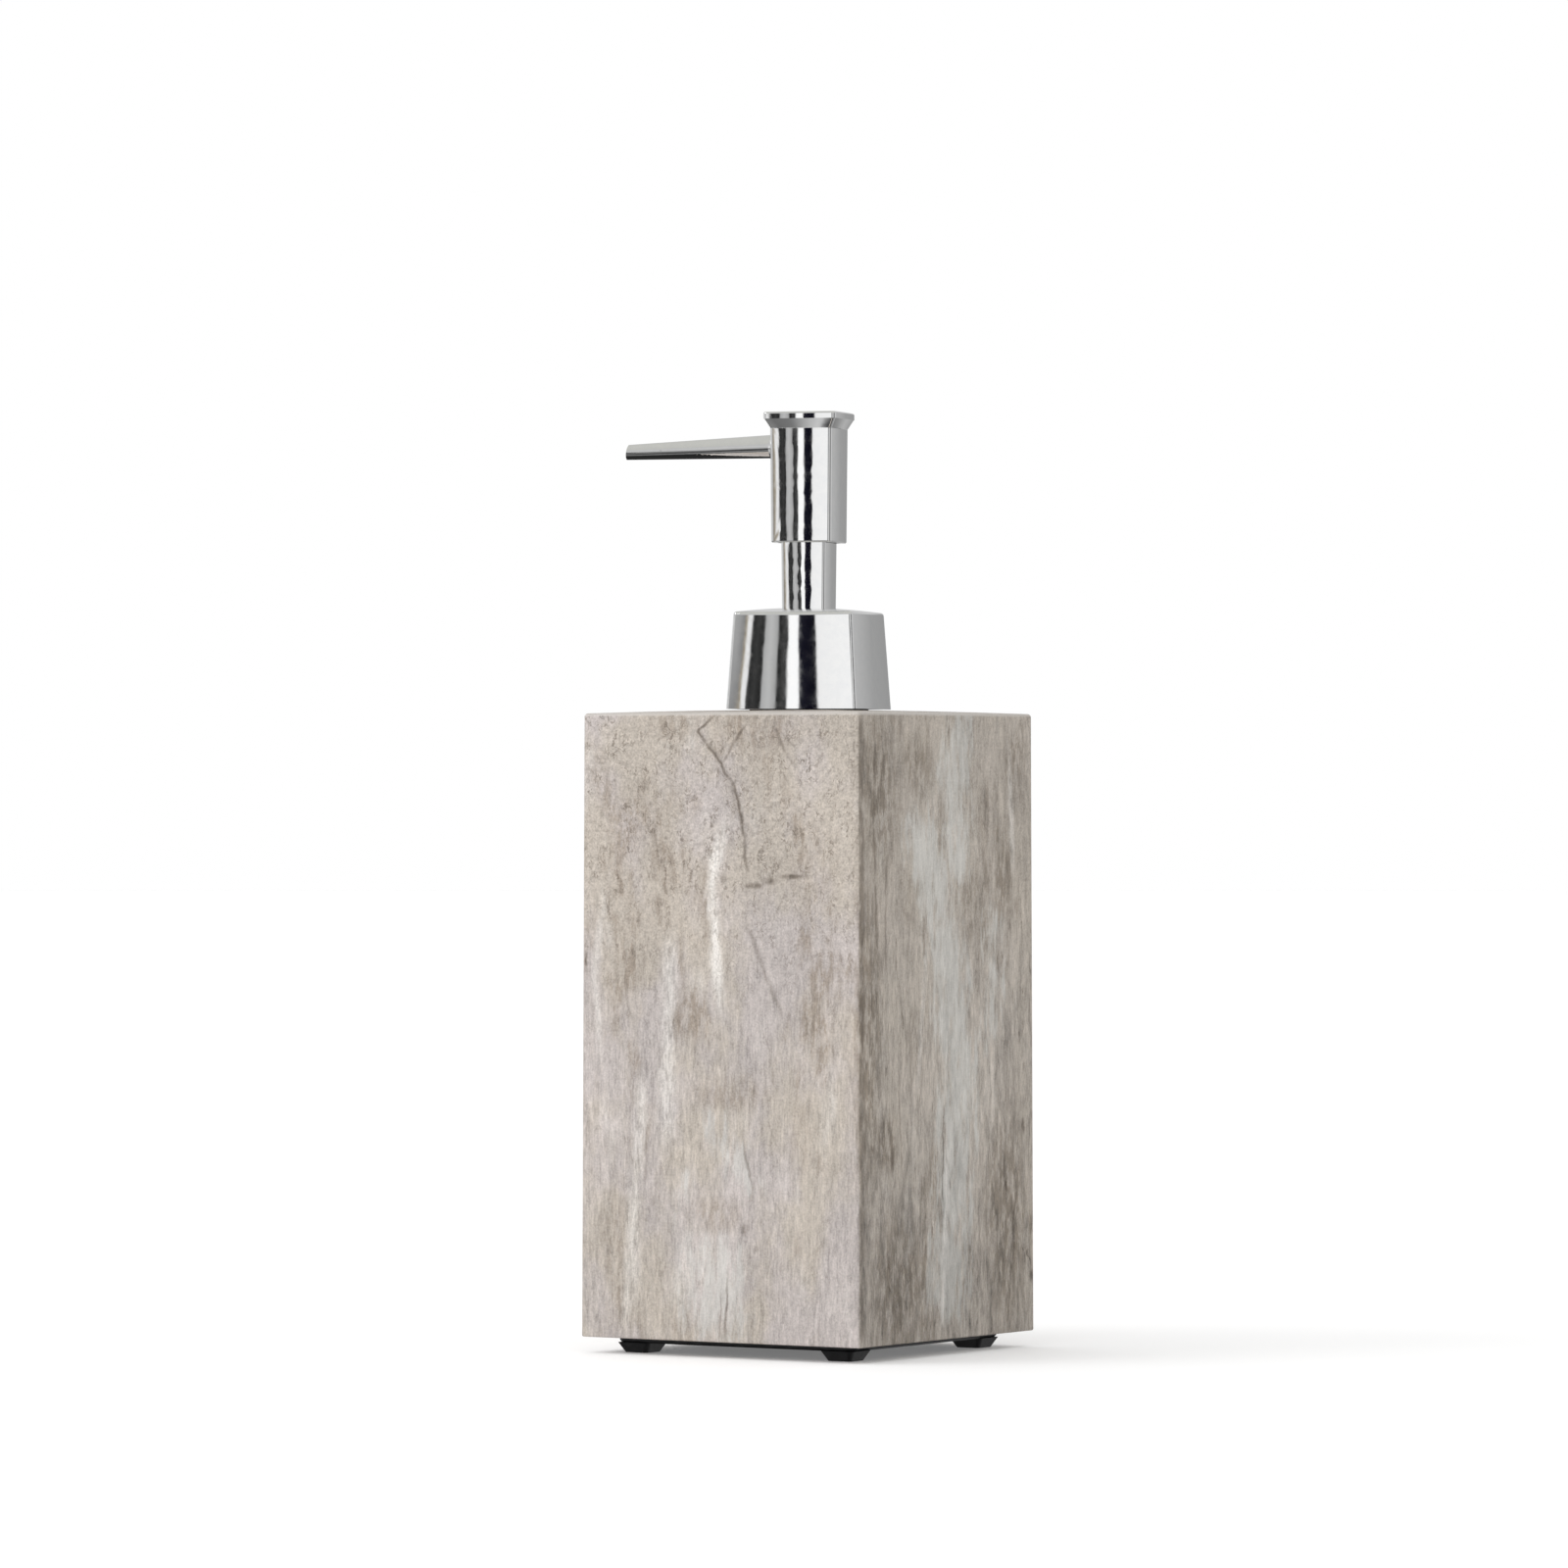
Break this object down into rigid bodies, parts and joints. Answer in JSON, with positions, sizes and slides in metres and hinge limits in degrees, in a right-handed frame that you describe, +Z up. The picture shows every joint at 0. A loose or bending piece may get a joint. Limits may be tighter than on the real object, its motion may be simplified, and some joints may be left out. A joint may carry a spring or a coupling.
{
  "type": "soap pump dispenser",
  "caption": "Square-section soap dispenser: a stone-and-driftwood printed vessel on black feet with a chromed square press pump and a slim side spout.",
  "frame": {"origin": "centre of the outline's footprint, on the surface that the feet stand on; the vessel's and the pump's common axis stands 2.17 mm towards +X, because the spout overhangs the vessel at -X", "axes": "+Z up along the pump's axis, +X and +Y square to the vessel's faces, spout towards -X and a little towards -Y"},
  "size_m": [0.0761, 0.0718, 0.205],
  "materials": {
    "printed_resin": "satin print",
    "chrome": "mirror plated",
    "white_plastic": "moulded",
    "natural_plastic": "milky",
    "black_rubber": "matte",
    "seal_rubber": "soft satin",
    "spring_steel": "drawn wire",
    "ball_glass": "polished"
  },
  "bodies": {
    "vessel": {"vessel": "printed_resin", "neck_insert": "white_plastic", "base_plate": "black_rubber", "foot_front_left": "black_rubber", "foot_front_right": "black_rubber", "foot_back_left": "black_rubber", "foot_back_right": "black_rubber"},
    "pump_core": {"pump_housing": "natural_plastic", "chaplet": "white_plastic", "closure_gasket": "seal_rubber", "ball_cage": "white_plastic", "return_spring": "spring_steel", "dip_tube": "natural_plastic"},
    "inlet_valve": {"inlet_ball": "ball_glass"},
    "closure": {"collar_shell": "chrome", "screw_cap": "white_plastic"},
    "head": {"head_shell": "chrome", "head_core": "white_plastic", "top_cap": "chrome", "spout": "chrome", "nozzle_liner": "natural_plastic", "stem_sleeve": "chrome", "piston_rod": "white_plastic", "piston": "seal_rubber", "piston_retainer": "white_plastic"},
    "outlet_valve": {"outlet_ball": "ball_glass"}
  },
  "joints": [
    {"name": "closure_lift", "type": "slide", "parent": "vessel", "child": "pump_core", "axis": [0, 0, 1], "range_m": [0, 0.00476]},
    {"name": "closure_turn", "type": "hinge", "parent": "pump_core", "child": "closure", "pos_m": [0.00217, 0, 0.15], "axis": [0, 0, 1], "range_deg": [0, 540]},
    {"name": "head_press", "type": "slide", "parent": "closure", "child": "head", "axis": [0, 0, -1], "range_m": [0, 0.0135], "stiffness_N_per_m": 420, "springref_m": -0.009, "deforming": ["return_spring"]},
    {"name": "inlet_ball_lift", "type": "slide", "parent": "pump_core", "child": "inlet_valve", "axis": [0, 0, 1], "range_m": [0, 0.0015]},
    {"name": "outlet_ball_lift", "type": "slide", "parent": "head", "child": "outlet_valve", "axis": [0, 0, 1], "range_m": [0, 0.0015]}
  ],
  "couplings": [
    {"joint": "closure_turn", "follows": "closure_lift", "rad_per_m": 1979}
  ]
}
